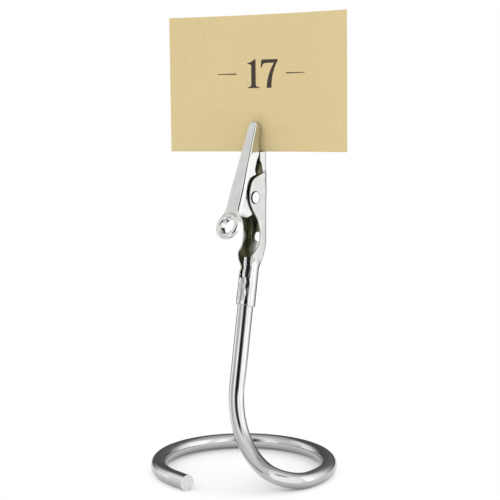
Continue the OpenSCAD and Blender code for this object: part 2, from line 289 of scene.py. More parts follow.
def addDullAndShade(tree, colour, look):
    # darker, less metallic tone on the marked faces: painted shade in the clip, bare steel on the wire's cut
    # ends; a pale patch of painted light round one spot where the look has it
    marked = addNode(tree, "ShaderNodeAttribute", attribute_name="dullAndShade").outputs["Fac"]
    metallic = addRange(tree, marked, 1.0, look["dullAndShadeMetallic"], start=0.0, end=1.0)
    grain = addNoise(tree, look["dullAndShadeScale"], stretch=dullAndShadeGrain["stretch"])
    dullAndShadeTone = addRamp(tree, grain, *look["dullAndShadeTones"], dullAndShadeGrain["start"], dullAndShadeGrain["end"])
    if "paintedLightAt" in look:
        near, far = look["paintedLightReach"]
        away = addDistance(tree, look["paintedLightAt"], look["paintedLightWeights"])
        paintedLightTone = addRamp(tree, addNoise(tree, look["paintedLightScale"]), *look["paintedLight"])
        dullAndShadeTone = addBlend(tree, addRange(tree, away, 1.0, 0.0, near * mm, far * mm), dullAndShadeTone, paintedLightTone)
    return addBlend(tree, marked, colour, dullAndShadeTone), metallic


def addPaintedShadeRing(tree, colour, look):
    # painted shade at the foot of the rivet's heads, by the distance from the hinge axis
    near, far = look["paintedShadeRing"]
    share = addRange(tree, addDistance(tree, pivot, (0, 1, 1)), 0.0, 1.0, near * mm, far * mm)
    return addBlend(tree, share, colour, addRamp(tree, addNoise(tree, look["grainScale"]), *look["paintedShadeTones"]))


def platedMetal(name, look):
    # bright plating: a mirror with faint clouding, a slow ripple and fine polishing lines
    material, tree, shader = newMaterial(name)
    colour, metallic = addRamp(tree, addNoise(tree, look["cloudScale"]), look["dark"], look["light"]), 1.0
    # marked faces: painted shade in the clip's hollows, bare steel on the wire's cut ends
    if "dullAndShadeTones" in look:
        colour, metallic = addDullAndShade(tree, colour, look)
    # painted shade round the foot of the rivet's heads
    if "paintedShadeRing" in look:
        colour = addPaintedShadeRing(tree, colour, look)
    grain = addNoise(tree, look["grainScale"], detail=5.0, roughness=0.6, stretch=look["grainStretch"])
    ripple = addNoise(tree, look["rippleScale"], detail=1.0)
    normal = addBump(tree, ripple, look["rippleStrength"], look["rippleDepth"])
    setInputs(tree, shader, {
        "Base Color": colour, "Metallic": metallic, "Roughness": addRange(tree, grain, *look["roughness"]),
        "Normal": addBump(tree, grain, look["grainStrength"], look["grainDepth"], normal)})
    return material


dullAndShadeGrain = {"stretch": (1, 1, 0.3), "start": 0.38, "end": 0.72}
wireChrome = platedMetal("wireChrome", {
    "dark": (0.5, 0.505, 0.51), "light": (0.56, 0.565, 0.57), "cloudScale": 160,
    "dullAndShadeTones": ((0.7, 0.705, 0.71), (0.86, 0.865, 0.87)), "dullAndShadeScale": 2600, "dullAndShadeMetallic": 0.4,
    "roughness": (0.08, 0.13), "grainScale": 2600, "grainStretch": (1, 1, 0.35),
    "grainStrength": 0.05, "grainDepth": 0.01, "rippleScale": 220, "rippleStrength": 0.05, "rippleDepth": 0.1,
})
clipLook = {
    "dark": (0.6, 0.6, 0.59), "light": (0.68, 0.68, 0.67), "cloudScale": 320,
    # dark olive tones of the painted shade on the channel's inner faces
    "dullAndShadeTones": ((0.055, 0.055, 0.026), (0.36, 0.355, 0.19)), "dullAndShadeScale": 500, "dullAndShadeMetallic": 0.4,
    "roughness": (0.08, 0.16), "grainScale": 3800, "grainStretch": (1, 1, 0.25),
    "grainStrength": 0.08, "grainDepth": 0.01, "rippleScale": 420, "rippleStrength": 0.1, "rippleDepth": 0.15,
}
leverNickel = platedMetal("leverNickel", clipLook)
# the body's plating is a little duller than the lever's, with a pale patch of painted light on the inner wall
# at the foot of the spine
jawNickel = platedMetal("jawNickel", {
    **clipLook, "dark": (0.52, 0.52, 0.515), "light": (0.59, 0.59, 0.58),
    # pale patch of painted light on the channel's inner wall, by the distance from one spot
    "paintedLightAt": pivot + Vector((0.3, 4.5, -13.9)) * mm, "paintedLightWeights": (1, 0.5, 0.8),
    "paintedLightReach": (1.2, 2.8), "paintedLight": ((0.72, 0.72, 0.67), (0.97, 0.97, 0.93)), "paintedLightScale": 1400,
})
rivetSteel = platedMetal("rivetSteel", {
    # a dark ring painted as shade round the foot of each head
    "paintedShadeRing": (1.42, 1.58), "paintedShadeTones": ((0.015, 0.015, 0.013), (0.025, 0.025, 0.023)),
    "dark": (0.68, 0.68, 0.68), "light": (0.78, 0.78, 0.775), "cloudScale": 900,
    "roughness": (0.1, 0.2), "grainScale": 5200, "grainStretch": (1, 1, 1),
    "grainStrength": 0.08, "grainDepth": 0.01, "rippleScale": 700, "rippleStrength": 0.08, "rippleDepth": 0.1,
})
springSteel = platedMetal("springSteel", {
    # nearly black, as painted shade: the spring sits deep in the clip's dark channel
    "dark": (0.05, 0.05, 0.047), "light": (0.11, 0.11, 0.105), "cloudScale": 1500,
    "roughness": (0.36, 0.5), "grainScale": 7000, "grainStretch": (0.4, 1, 1),
    "grainStrength": 0.12, "grainDepth": 0.01, "rippleScale": 900, "rippleStrength": 0.05, "rippleDepth": 0.1,
})


def strawPaper(name, look):
    # matt card: soft clouding of tone, fibres and a fine tooth
    material, tree, shader = newMaterial(name)
    cloud = addRamp(tree, addNoise(tree, look["cloudScale"]), look["dark"], look["light"])
    fibre = addNoise(tree, look["fibreScale"], detail=6.0, roughness=0.65, stretch=look["fibreStretch"],
                     turn=look["fibreTurn"])
    streaks = addRamp(tree, fibre, *look["fibreTones"], *look["fibreRange"])
    normal = addBump(tree, fibre, look["fibreStrength"], look["fibreDepth"])
    tooth = addNoise(tree, look["toothScale"], detail=4.0)
    setInputs(tree, shader, {
        "Base Color": addBlend(tree, look["fibreShare"], cloud, streaks, "MULTIPLY"),
        "Roughness": look["roughness"], "Specular IOR Level": look["gloss"],
        "Normal": addBump(tree, tooth, look["toothStrength"], look["toothDepth"], normal)})
    return material


cardPaper = strawPaper("cardPaper", {
    "dark": (0.745, 0.598, 0.314), "light": (0.775, 0.63, 0.335), "cloudScale": 45,
    "roughness": 0.88, "gloss": 0.25,
    "fibreScale": 900, "fibreStretch": (1, 1, 0.45), "fibreTurn": (0, 0, 13),
    "fibreTones": ((0.8, 0.79, 0.76), (1, 1, 1)), "fibreRange": (0.32, 0.6), "fibreShare": 0.17,
    "fibreStrength": 0.25, "fibreDepth": 0.02, "toothScale": 5200, "toothStrength": 0.2, "toothDepth": 0.01,
})


def printInk(name, look):
    material, tree, shader = newMaterial(name)
    fleck = addNoise(tree, look["fleckScale"], detail=4.0)
    setInputs(tree, shader, {
        "Base Color": addRamp(tree, fleck, look["dark"], look["light"], *look["fleckRange"]),
        "Roughness": look["roughness"],
        "Normal": addBump(tree, fleck, look["fleckStrength"], look["fleckDepth"])})
    return material


cardInk = printInk("cardInk", {
    "dark": (0.02, 0.011, 0.004), "light": (0.055, 0.033, 0.013), "roughness": 0.55,
    "fleckScale": 3000, "fleckRange": (0.35, 0.75), "fleckStrength": 0.2, "fleckDepth": 0.01,
})
print("materials made")


# swept wires, one Geometry Nodes tree for the stand and the spring

def sweptWireTree():
    tree = bpy.data.node_groups.new("sweptWire", "GeometryNodeTree")

    def socket(name, kind, way="INPUT"):
        return tree.interface.new_socket(name, in_out=way, socket_type="NodeSocket" + kind).identifier

    socket("Path", "Geometry")
    inputs = {"radius": socket("Wire Radius", "Float"), "sides": socket("Sides", "Int"),
              "material": socket("Material", "Material")}
    socket("Wire", "Geometry", "OUTPUT")
    given = addNode(tree, "NodeGroupInput").outputs
    path = addNode(tree, "GeometryNodeMeshToCurve", {"Mesh": given["Path"]})
    taper = addNode(tree, "GeometryNodeInputNamedAttribute", {"Name": "taper"}, data_type="FLOAT")
    thin = addNode(tree, "GeometryNodeSetCurveRadius", {
        "Curve": path.outputs["Curve"], "Radius": taper.outputs["Attribute"]})
    ring = addNode(tree, "GeometryNodeCurvePrimitiveCircle", {
        "Radius": given["Wire Radius"], "Resolution": given["Sides"]})
    sweep = addNode(tree, "GeometryNodeCurveToMesh", {
        "Curve": thin.outputs["Curve"], "Profile Curve": ring.outputs["Curve"], "Fill Caps": True})
    smooth = addNode(tree, "GeometryNodeSetShadeSmooth", {"Geometry": sweep.outputs["Mesh"]})
    real = addNode(tree, "GeometryNodeRealizeInstances", {"Geometry": smooth.outputs["Geometry"]})
    paint = addNode(tree, "GeometryNodeSetMaterial", {
        "Geometry": real.outputs["Geometry"], "Material": given["Material"]})
    addNode(tree, "NodeGroupOutput", {"Wire": paint.outputs["Geometry"]})
    return tree, inputs


wireTree, wireInputs = sweptWireTree()


def sweepWire(name, path, tapers, radius, sides, material):
    mesh = bpy.data.meshes.new(name)
    mesh.from_pydata([Vector(p) * mm for p in path], [(i, i + 1) for i in range(len(path) - 1)], [])
    taper = mesh.attributes.new("taper", "FLOAT", "POINT")
    taper.data.foreach_set("value", tapers)
    obj = newObject(name, mesh)
    modifier = obj.modifiers.new("sweep", "NODES")
    modifier.node_group = wireTree
    modifier[wireInputs["radius"]] = radius * mm
    modifier[wireInputs["sides"]] = sides
    modifier[wireInputs["material"]] = material
    plainMesh(obj)
    tidyMesh(obj.data)
    return obj


def arcBetween(start, corner, end, step):
    # points of the arc whose end tangents meet at the corner
    middle = (start + end) / 2
    halfChord = (end - start).length / 2
    rise = corner - middle
    halfTurn = math.atan2(rise.length, halfChord)
    radius = halfChord / math.sin(halfTurn)
    centre = middle - rise.normalized() * radius * math.cos(halfTurn)
    across, onward = (start - centre) / radius, (corner - start).normalized()
    turns = steps(0, 2 * halfTurn, step / radius)
    return [centre + radius * (across * math.cos(a) + onward * math.sin(a)) for a in turns]


# wire stand: tail, open ring, two tangent bends and a leaning stem

stand = {
    "wireD": 4.2, "ringR": 23.2, "tailDeg": 260, "tailLen": 5.1, "tailGap": 1.0, "leaveDeg": -3,
    "sweepH": 23.5, "bendShare": 0.55, "stemFore": 2.8, "stemLean": 9.2, "topH": 58.0,
    "chamfer": 0.3, "step": 0.5, "sides": 72,
    "stemRows": [(0.03, 0.8, 0.04), (0.81, 0.985, 0.0125)],    # shares of the stem, closer near its top
    # flats pressed on the wire's bare top: the heights where they start and are full,
    # each one's angle and share of the radius, their waver along the wire, and one deeper pinch
    "pressed": {
        "rise": (51.8, 53.0), "flats": [(38, 0.82), (17, 0.92), (-14, 0.9), (-50, 0.82)],
        "waver": 9.0, "along": 0.8, "apart": 7.3, "seed": 1.9, "widest": 60,
        "pinchH": 55.6, "pinchLen": 0.9, "pinch": 0.1,
    },
}


def stemPoint(height):
    lean = math.tan(math.radians(stand["stemLean"]))
    return Vector((0, (height - stand["sweepH"]) * lean - stand["stemFore"], height))


def standPath():
    s = stand
    ringH = s["wireD"] / 2

    def onRing(deg):
        a = math.radians(deg)
        return Vector((s["ringR"] * math.cos(a), s["ringR"] * math.sin(a), ringH))

    tail, leave = math.radians(s["tailDeg"]), math.radians(s["leaveDeg"])
    tailDir = Vector((-math.sin(tail), math.cos(tail), 0))
    leaveDir = Vector((math.sin(leave), -math.cos(leave), 0))
    start, foot, top = onRing(s["leaveDeg"]), stemPoint(s["sweepH"]), stemPoint(s["topH"])
    stemDir = (top - foot).normalized()
    # lengths of the tangents that make both bends meet smoothly
    share, chord = s["bendShare"], foot - start
    square = 2 * share * (1 - leaveDir.dot(stemDir))
    linear = 2 * chord.dot(share * leaveDir + stemDir)
    upper = (math.sqrt(linear ** 2 + 4 * square * chord.dot(chord)) - linear) / (2 * square)
    lower = share * upper
    lowerCorner, upperCorner = start + lower * leaveDir, foot - upper * stemDir
    join = (upper * lowerCorner + lower * upperCorner) / (lower + upper)
    # the path starts at the loose end
    ringStep = math.degrees(s["step"] / s["ringR"])
    tailRows = [s["tailLen"], s["tailLen"] - s["chamfer"]]
    tailRows += reversed(steps(s["step"], s["tailLen"] - s["tailGap"], s["step"]))
    path = [onRing(s["tailDeg"]) + tailDir * d for d in tailRows]
    path += [onRing(d) for d in reversed(steps(s["leaveDeg"], s["tailDeg"], ringStep))]
    path += arcBetween(start, lowerCorner, join, s["step"])[1:]
    path += arcBetween(join, upperCorner, foot, s["step"])[1:]
    path += [foot + (top - foot) * t for t in stepRuns(s["stemRows"])]
    path += [top - stemDir * s["chamfer"], top]
    tapers = [1.0] * len(path)
    tapers[0] = tapers[-1] = 1 - 2 * s["chamfer"] / s["wireD"]
    return path, tapers


def pressTop(mesh):
    p = stand["pressed"]
    least = math.cos(math.radians(p["widest"]))
    for vert in mesh.vertices:
        x, y, z = vert.co / mm
        share = smoothStep(*p["rise"], z)
        if share > 0:
            middle = stemPoint(z)
            angle = math.degrees(math.atan2(x - middle.x, middle.y - y))
            pinch = p["pinch"] * hump(p["pinchH"], p["pinchLen"], z)
            radius = 1.0
            for i, (turn, flat) in enumerate(p["flats"]):
                waver = p["waver"] * noise.noise(Vector((i * p["apart"], z * p["along"], p["seed"])))
                off = math.cos(math.radians(angle - turn - waver))
                radius = min(radius, (flat - pinch) / max(off, least))
            vert.co = (middle + (vert.co / mm - middle) * mix(1.0, radius, share)) * mm


standPoints, standTapers = standPath()
wireStand = sweepWire("wireStand", standPoints, standTapers, stand["wireD"] / 2, stand["sides"], wireChrome)
pressTop(wireStand.data)
markDullAndShade(wireStand.data, lambda face: len(face.vertices) > 4)    # the cut ends have no plating
finishPiece(wireStand, "stand", "wire_stand", wireChrome)


# pressed sheet: half a channel lofted from rows, then mirrored
# a row is a closed half section: outer face from the middle to the edge, the rim, and back inside

sheet = {
    "thick": 0.45, "bend": 0.95, "rim": 0.3, "leastLip": 0.02, "webColumns": 5, "bendColumns": 8,
    "edgeColumns": 18, "toothRows": 8, "noseRows": 10, "holeReach": 8,
}
# share of the thickness and of the rim, from the outer face round to the inner one
rimRoll = [(0.03, 0.3), (0.1, 0.58), (0.22, 0.82), (0.4, 0.97), (0.6, 1.0), (0.85, 1.0), (0.97, 0.7)]


def channelSection(half, webY, edgeY, side, bend=sheet["bend"]):
    # (distance from the middle, depth) of a half section whose flange runs from the web to the edge
    # side is the direction of the flange along the depth
    thick, rim = sheet["thick"], sheet["rim"]
    depth = max((edgeY - webY) * side, thick + sheet["leastLip"])
    turn = math.pi / 2 if depth >= bend else math.acos(1 - depth / bend)

    def wall(inset):
        points = [((half - bend) * i / sheet["webColumns"], inset) for i in range(sheet["webColumns"])]
        for i in range(sheet["bendColumns"] + 1):
            a = turn * i / sheet["bendColumns"]
            points.append((half - bend + (bend - inset) * math.sin(a), bend - (bend - inset) * math.cos(a)))
        last, stop = points[-1], max(depth - rim, points[-1][1])
        for i in range(1, sheet["edgeColumns"] + 1):
            points.append((last[0], mix(last[1], stop, i / sheet["edgeColumns"])))
        return points

    outer, inner = wall(0.0), wall(thick)
    a, b = outer[-1], inner[-1]
    tip = max(depth, a[1], b[1])
    edge = [(mix(a[0], b[0], across), mix(a[1], tip, out)) for across, out in rimRoll]
    return [(s, webY + side * d) for s, d in outer + edge + inner[::-1]]


def loftHalves(name, rowsOf):
    # joins the rows of the half sections on both sides of X and closes the first row
    points, faces = [], []
    for side in (1, -1):
        rows = rowsOf(side)
        width, first = len(rows[0]), len(points)
        for row in rows:
            points += [(side * p[0], p[1], p[2]) for p in row]
        quads = [(k, k + 1, k + 1 + width, k + width) for r in range(len(rows) - 1)
                 for k in range(first + r * width, first + (r + 1) * width - 1)]
        for c in range((width - 1) // 2):
            k, far = first + c, first + width - 1 - c
            quads.append((k, far, far - 1, k + 1))
        faces += quads if side > 0 else [quad[::-1] for quad in quads]
    mesh = meshFrom(name, points, faces)
    tidyMesh(mesh)
    return newObject(name, mesh)


def noseRows(tipW, middle, sectionAt):
    # rows that turn round the tip: sectionAt gives the section for a height
    rows, turn = [], math.pi / 2
    for a in steps(0, turn, turn / sheet["noseRows"])[1:]:
        nx, nz = math.cos(a), math.sin(a)
        section = sectionAt(middle + tipW / 2 * nz)
        rows.append([Vector((s * nx, y, middle + s * nz)) for s, y in section])
    return rows


def toothHeight(fromTip, v):
    phase = fromTip / v["toothPitch"]
    return 0.0 if phase > v["teeth"] else v["toothDepth"] * (1 - abs(2 * (phase % 1.0) - 1))


def toothRun(v):
    # rows of the toothed part, up to the middle of the tip
    start, tipMid = v["reach"] - v["teeth"] * v["toothPitch"], v["reach"] - v["tipW"] / 2
    return start, tipMid, v["toothPitch"] / sheet["toothRows"]


def cutRivetHole(obj, diameter):
    reach = sheet["holeReach"]
    boolean(obj, rod("rivetHole", diameter / 2, (-reach, 0, 0), (reach, 0, 0)), "DIFFERENCE")


# fixed jaw: barrel round the wire, tail, ears and the toothed upper jaw
# heights are from the hinge axis

jaw = {
    "spineD": 5.4, "backStep": 0.8, "stepRise": (-15.9, -11.8), "jawLean": 7.01, "knee": 1.6,
    "reach": 20.2, "tipW": 2.7, "throatH": 11.9, "holeD": 2.8, "holeDrop": 11.1, "holeSpan": (-2, 2),
    "rivetD": 2.04, "toothPitch": 1.3, "toothDepth": 0.5, "teeth": 4, "gripY": 5.78, "gripSlope": 0.0137,
    "lipY": -0.9, "farLip": -0.3, "farLipTop": -13, "farLipRise": (-17.5, -15.6),
    "neckRise": (-19.4, -15.5), "neckRows": (-19.2, -15.5, 0.2),
    "tailRows": [(-15.3, -14.3, 0.2), (-14.1, 11.8, 0.2), (11.85, 11.9, 0.05)],
    "throatFrom": 11.95, "throatStep": 0.3, "toothGap": 0.2,
    # sleeve on the wire, open above the crimp, with each side's share of the cut at its waist
    "barrel": {
        "drop": 29.4, "length": 7.6, "radius": 2.57, "rim": 0.1, "wireGap": 0.01, "rowStep": 0.2,
        "neckDeg": 138, "waistDeg": 108, "waistH": -19.2, "waistLen": 1.5, "waistCut": {1: 0.2, -1: 1.0},
        "seamDeg": 176, "closing": (-0.4, 0.6), "seamArch": 0.6, "archLen": 2.5, "archTurn": (1.2, 3.0),
        "lowRim": [(0.0, 0.08), (0.03, 0.03), (0.1, 0.0)], "rimLen": 0.3,    # height, cut off the radius
    },
    # the tool's bites are (depth, distance under the closed top, length), between the angles of the seam
    # the creases are (depth, shift, waves round, waves along, seed), on the barrel's front
    "crimp": {
        "front": (95, 165), "seam": (130, 174), "bites": [(0.24, 1.2, 1.0), (0.18, 4.4, 1.3)],
        "creases": [(0.12, 4.1, 2.6, 0.55, 2.7), (0.08, 1.7, 6.5, 0.5, 6.1)],
    },
    # where the painted shade goes: least share of a normal, and heights of the cradle and the low rim
    "inside": {"facing": 0.6, "cradleFrom": -21, "cradleTo": -15.5, "rimReach": 2},
}
# free edge of the tail, ear and relief, as height and depth
jawEdge = [
    [-20.0, -0.9], [-16.9, -0.9], [-16.0, -0.85], [-15.3, -0.5], [-14.3, 0.6], [-13.3, 1.5], [-12.3, 2.02],
    [-11.0, 2.2], [-9.5, 2.25], [-8.3, 2.18], [-7.2, 1.95], [-6.3, 1.58], [-5.5, 1.1], [-4.9, 0.65],
    [-4.1, 0.0], [-3.0, -0.8], [-2.1, -1.32], [-1.0, -1.76], [0.0, -1.98], [0.8, -2.02], [2.1, -1.82],
    [3.2, -1.42], [4.1, -0.9], [4.7, -0.35], [5.25, 0.4], [5.6, 1.15], [5.9, 2.1], [6.15, 3.0], [6.4, 3.7],
    [6.9, 4.1], [8.0, 4.2], [8.9, 4.1], [9.5, 3.75], [10.0, 3.6], [10.4, 3.68], [10.8, 3.73], [11.85, 3.73],
]
jawHalf = [
    [-20.0, 2.57], [-18.0, 2.6], [-16.5, 2.72], [-15.0, 2.92], [-13.5, 3.12], [-12.4, 3.175], [5.2, 3.175],
    [5.9, 3.05], [7.2, 2.3], [7.8, 2.14], [18.85, 1.35],
]
# outer radius of the bends between the spine and the flanges
jawBend = [[-15.5, 0.95], [-11.0, 1.25], [1.0, 1.3], [5.2, 2.1], [6.2, 1.8], [7.4, 1.0], [20.0, 0.95]]


def spineY(z):
    # straight below the hinge, leaning back above it with a soft knee, stepped in to the barrel at the neck
    lean = math.tan(math.radians(jaw["jawLean"])) * (z + math.sqrt(z * z + jaw["knee"])) / 2
    return jaw["spineD"] + lean - jaw["backStep"] * (1 - smoothStep(*jaw["stepRise"], z))


def jawEdgeY(z):
    if z <= jaw["throatH"]:
        return curveThrough(jawEdge, z)
    fromTip = jaw["reach"] - z
    return jaw["gripY"] + fromTip * jaw["gripSlope"] + toothHeight(fromTip, jaw)


def barrelSection(radius, sweep, dent):
    # half section of the sleeve: (across, back, angle), from the back to the edge
    # dent(angle) moves both faces, but no face goes into the wire
    barrel = jaw["barrel"]
    count = sheet["webColumns"] + sheet["bendColumns"] + sheet["edgeColumns"]
    least = stand["wireD"] / 2 + barrel["wireGap"]

    def wall(inset):
        points = []
        for i in range(count + 1):
            a = sweep * i / count
            r = max(radius - inset + dent(a), least)
            points.append((r * math.sin(a), r * math.cos(a), a))
        return points

    outer, inner = wall(0.0), wall(sheet["thick"])
    onward = Vector((math.cos(sweep), -math.sin(sweep), 0))
    a, b = Vector(outer[-1]), Vector(inner[-1])
    edge = [tuple(a.lerp(b, across) + onward * barrel["rim"] * out) for across, out in rimRoll]
    return outer + edge + inner[::-1]


def fixedJawRows(side):
    j, b, crimp = jaw, jaw["barrel"], jaw["crimp"]
    lean = math.radians(stand["stemLean"])
    back, up = Vector((0, math.cos(lean), -math.sin(lean))), Vector((0, math.sin(lean), math.cos(lean)))
    lowEnd = -b["drop"]
    closedTop = lowEnd + b["length"] * math.cos(lean)

    def channelRow(z):
        edge = jawEdgeY(z)
        if side < 0 and z < j["farLipTop"]:
            # the crimp has pressed the far lip back at its elbow
            edge = max(edge, mix(j["lipY"], j["farLip"], smoothStep(*j["farLipRise"], z)))
        section = channelSection(curveThrough(jawHalf, z), spineY(z), edge, -1, curveThrough(jawBend, z))
        return [Vector((s, y, z)) for s, y in section]

    def barrelRow(z, trim=0.0):
        axis = stemPoint(z + pivotMm.z) - Vector((0, pivotMm.y, pivotMm.z))
        closed = 1 - smoothStep(closedTop + b["closing"][0], closedTop + b["closing"][1], z)
        # the open cradle is cut back between the neck and the crimp
        waist = hump(b["waistH"], b["waistLen"], z) * b["waistCut"][side]
        cradle = mix(b["neckDeg"], b["waistDeg"], waist)
        bite = sum(depth * hump(closedTop - under, length, z) for depth, under, length in crimp["bites"])

        def dent(a):
            # bites of the crimping tool, and wrinkles where the walls meet
            front, seam = (smoothStep(*map(math.radians, crimp[key]), a) for key in ("front", "seam"))
            crease = sum(depth * noise.noise(Vector((side * (shift + a * around), z * along, seed)))
                         for depth, shift, around, along, seed in crimp["creases"])
            return front * closed * (crease - bite * seam)

        # the lower rim arches up towards the seam
        arch = b["seamArch"] * (1 - smoothStep(lowEnd, lowEnd + b["archLen"], z))
        section = barrelSection(b["radius"] - trim, math.radians(mix(cradle, b["seamDeg"], closed)), dent)
        return [axis + Vector((x, 0, 0)) + back * y + up * arch * smoothStep(*b["archTurn"], a)
                for x, y, a in section]

    rows = [barrelRow(lowEnd + height, trim) for height, trim in b["lowRim"]]
    rows += [barrelRow(z) for z in steps(lowEnd + b["rimLen"], j["neckRise"][0], b["rowStep"])]
    for z in steps(*j["neckRows"]):
        share = smoothStep(*j["neckRise"], z)
        rows.append([sleeve.lerp(flange, share) for sleeve, flange in zip(barrelRow(z), channelRow(z))])
    toothStart, tipMid, toothStep = toothRun(j)
    runs = j["tailRows"] + [(j["throatFrom"], toothStart - j["toothGap"], j["throatStep"]),
                            (toothStart, tipMid, toothStep)]
    rows += [channelRow(z) for z in stepRuns(runs)]
    return rows + noseRows(j["tipW"], tipMid,
                           lambda z: channelSection(j["tipW"] / 2, spineY(z), jawEdgeY(z), -1))


def paintedShadeOnFixedJaw(face):
    # faces with painted shade: those that look into the channel or at the wire in the open cradle, and the
    # barrel's lower rim
    v, normal = jaw["inside"], face.normal
    p = face.center / mm - pivotMm
    if p.z < v["cradleTo"]:
        away = p.y - (stemPoint(p.z + pivotMm.z).y - pivotMm.y)
        cradle = p.z > v["cradleFrom"] and p.x * normal.x + away * normal.y < 0
        return cradle or (p.z < v["rimReach"] - jaw["barrel"]["drop"] and normal.z < -v["facing"])
    inward = -math.copysign(1, p.x) * normal.x - normal.y
    return inward >= v["facing"] and p.y >= jawEdgeY(min(p.z, jaw["throatH"])) + sheet["rim"]


fixedJaw = loftHalves("fixedJaw", fixedJawRows)
cutRivetHole(fixedJaw, jaw["rivetD"])
holeEnds = [(0, jaw["spineD"] + out, -jaw["holeDrop"]) for out in jaw["holeSpan"]]
boolean(fixedJaw, rod("spineHole", jaw["holeD"] / 2, *holeEnds), "DIFFERENCE")
fixedJaw.data.transform(Matrix.Translation(pivot))
tidyMesh(fixedJaw.data, 0.001)
# the channel's inner faces, the open cradle and the low rim get painted shade
markDullAndShade(fixedJaw.data, paintedShadeOnFixedJaw)
finishPiece(fixedJaw, "stand", "fixed_jaw", jawNickel)


# lever jaw: toothed jaw, flanges round the hinge, and the ring-shaped finger pad
# heights are along the lever from the hinge axis

lever = {
    "lean": 20.5, "webD": 4.38, "reach": 20.0, "tipW": 2.7, "throat": 12.4, "tipDepth": 2.1,
    "throatDepth": 3.55, "teeth": 5, "toothPitch": 1.3, "toothDepth": 0.5, "flangeDrop": 6.1, "rivetD": 2.1,
    "neckShares": (0.0, 0.2, 0.4, 0.6, 0.8), "flareEnd": -8.1, "shadeInset": 0.38,
    "heelRows": [(-6.1, -5.8, 0.03), (-5.7, -4.0, 0.1)], "webFrom": -3.8, "webStep": 0.2, "toothGap": 0.15,
    "pad": {
        "drop": 9.25, "outD": 7.5, "holeD": 4.1, "rise": 0.32, "skirt": 0.5, "tube": 1.3, "rim": 0.08,
        "beadRows": 20, "sides": 96, "tiltStart": -5.2, "tiltEase": 1.5, "tilt": 6.0,
    },
}
leverEdge = [
    [-6.1, -4.38], [-6.06, -3.6], [-6.02, -2.4], [-5.9, -1.2], [-5.6, -0.3], [-5.0, 0.6], [-4.3, 1.5],
    [-3.7, 2.0], [-3.0, 2.25], [-2.0, 2.38], [-0.8, 2.48], [0.4, 2.5], [1.6, 2.3], [3.0, 1.85], [4.6, 1.1],
    [5.8, 0.5], [6.6, -0.5], [7.2, -0.95], [8.2, -1.0], [9.3, -0.97], [10.2, -0.9], [11.0, -0.68],
    [11.5, -0.62], [12.4, -0.83],
]
# half width: the web flares out to the pad below the flanges and narrows to the tip above them
leverHalf = [
    [-8.1, 3.57], [-6.1, 2.9], [-4.9, 2.5], [-3.8, 2.4], [-2.0, 2.4], [0.0, 2.38], [6.0, 2.0], [12.0, 1.66],
    [18.65, 1.35],
]
# outer radius of the bends between the web and the flanges
leverBend = [[-6.1, 0.95], [0.0, 0.95], [9.0, 0.66], [18.0, 0.52]]


def leverEdgeH(w):
    v = lever
    if w <= v["throat"]:
        return curveThrough(leverEdge, w)
    fromTip = v["reach"] - w
    deeper = (v["throatDepth"] - v["tipDepth"]) * fromTip / (v["reach"] - v["throat"])
    return v["tipDepth"] - v["webD"] + deeper - toothHeight(fromTip, v)


def leverRows(side):
    v, pad = lever, lever["pad"]
    joinR = pad["outD"] / 2 - sheet["thick"] / 2

    def row(w):
        half, bend = curveThrough(leverHalf, w), curveThrough(leverBend, w)
        return [Vector((s, h, w)) for s, h in channelSection(half, -v["webD"], leverEdgeH(w), 1, bend)]

    def neckRow(share):
        # plate below the flanges, which widens and ends in an arc inside the pad's bead
        widen = curveThrough(leverHalf, mix(v["flareEnd"], -v["flangeDrop"], share))
        widen /= curveThrough(leverHalf, -v["flangeDrop"])
        points = []
        for p in row(-v["flangeDrop"]):
            x = p.x * widen
            arc = -pad["drop"] + math.sqrt(max(joinR ** 2 - x ** 2, 0.0))
            points.append(Vector((x, p.y, mix(arc, -v["flangeDrop"], share))))
        return points

    toothStart, tipMid, toothStep = toothRun(v)
    runs = v["heelRows"] + [(v["webFrom"], toothStart - v["toothGap"], v["webStep"]),
                            (toothStart, tipMid, toothStep)]
    rows = [neckRow(t) for t in v["neckShares"]] + [row(w) for w in stepRuns(runs)]
    return rows + noseRows(v["tipW"], tipMid, lambda w: channelSection(
        v["tipW"] / 2, -v["webD"], leverEdgeH(w), 1, leverBend[-1][1]))


def fingerPad():
    # arched bead turned round the pad's middle, open underneath, with a longer tube round the hole
    pad, thick = lever["pad"], sheet["thick"]
    rim, bead = pad["rim"], (pad["outD"] - pad["holeD"]) / 4
    middle, lift = pad["holeD"] / 2 + bead, bead - pad["rise"] - lever["webD"]
    turns = steps(0, math.pi, math.pi / pad["beadRows"])
    outer = [(middle + bead * math.cos(a), bead * math.sin(a)) for a in turns]
    inner = [(middle + (bead - thick) * math.cos(a), (bead - thick) * math.sin(a)) for a in reversed(turns)]
    low, deep, out, hole = -pad["skirt"], -pad["tube"], middle + bead, middle - bead
    profile = [(out, low + rim)] + outer
    profile += [(hole, deep + rim), (hole + rim, deep)]
    profile += [(hole + thick - rim, deep), (hole + thick, deep + rim)]
    profile += inner + [(out - thick, low + rim), (out - thick + rim, low), (out - rim, low)]
    mesh = turnedMesh("fingerPad", profile, pad["sides"],
                      lambda across, along, up: (across, lift - up, along - pad["drop"]), closed=True)
    return newObject("fingerPad", mesh)


def tiltPad(mesh):
    # bends the pad outwards from a line on the web, with a soft start
    pad = lever["pad"]
    ease, slope = pad["tiltEase"], math.tan(math.radians(pad["tilt"]))
    for vert in mesh.vertices:
        below = pad["tiltStart"] - vert.co.z / mm
        if below > 0:
            soft = below ** 2 / (2 * ease) if below < ease else below - ease / 2
            vert.co.y -= soft * slope * mm


leverTurn = Matrix.Translation(pivot) @ Matrix.Rotation(-math.radians(lever["lean"]), 4, "X")


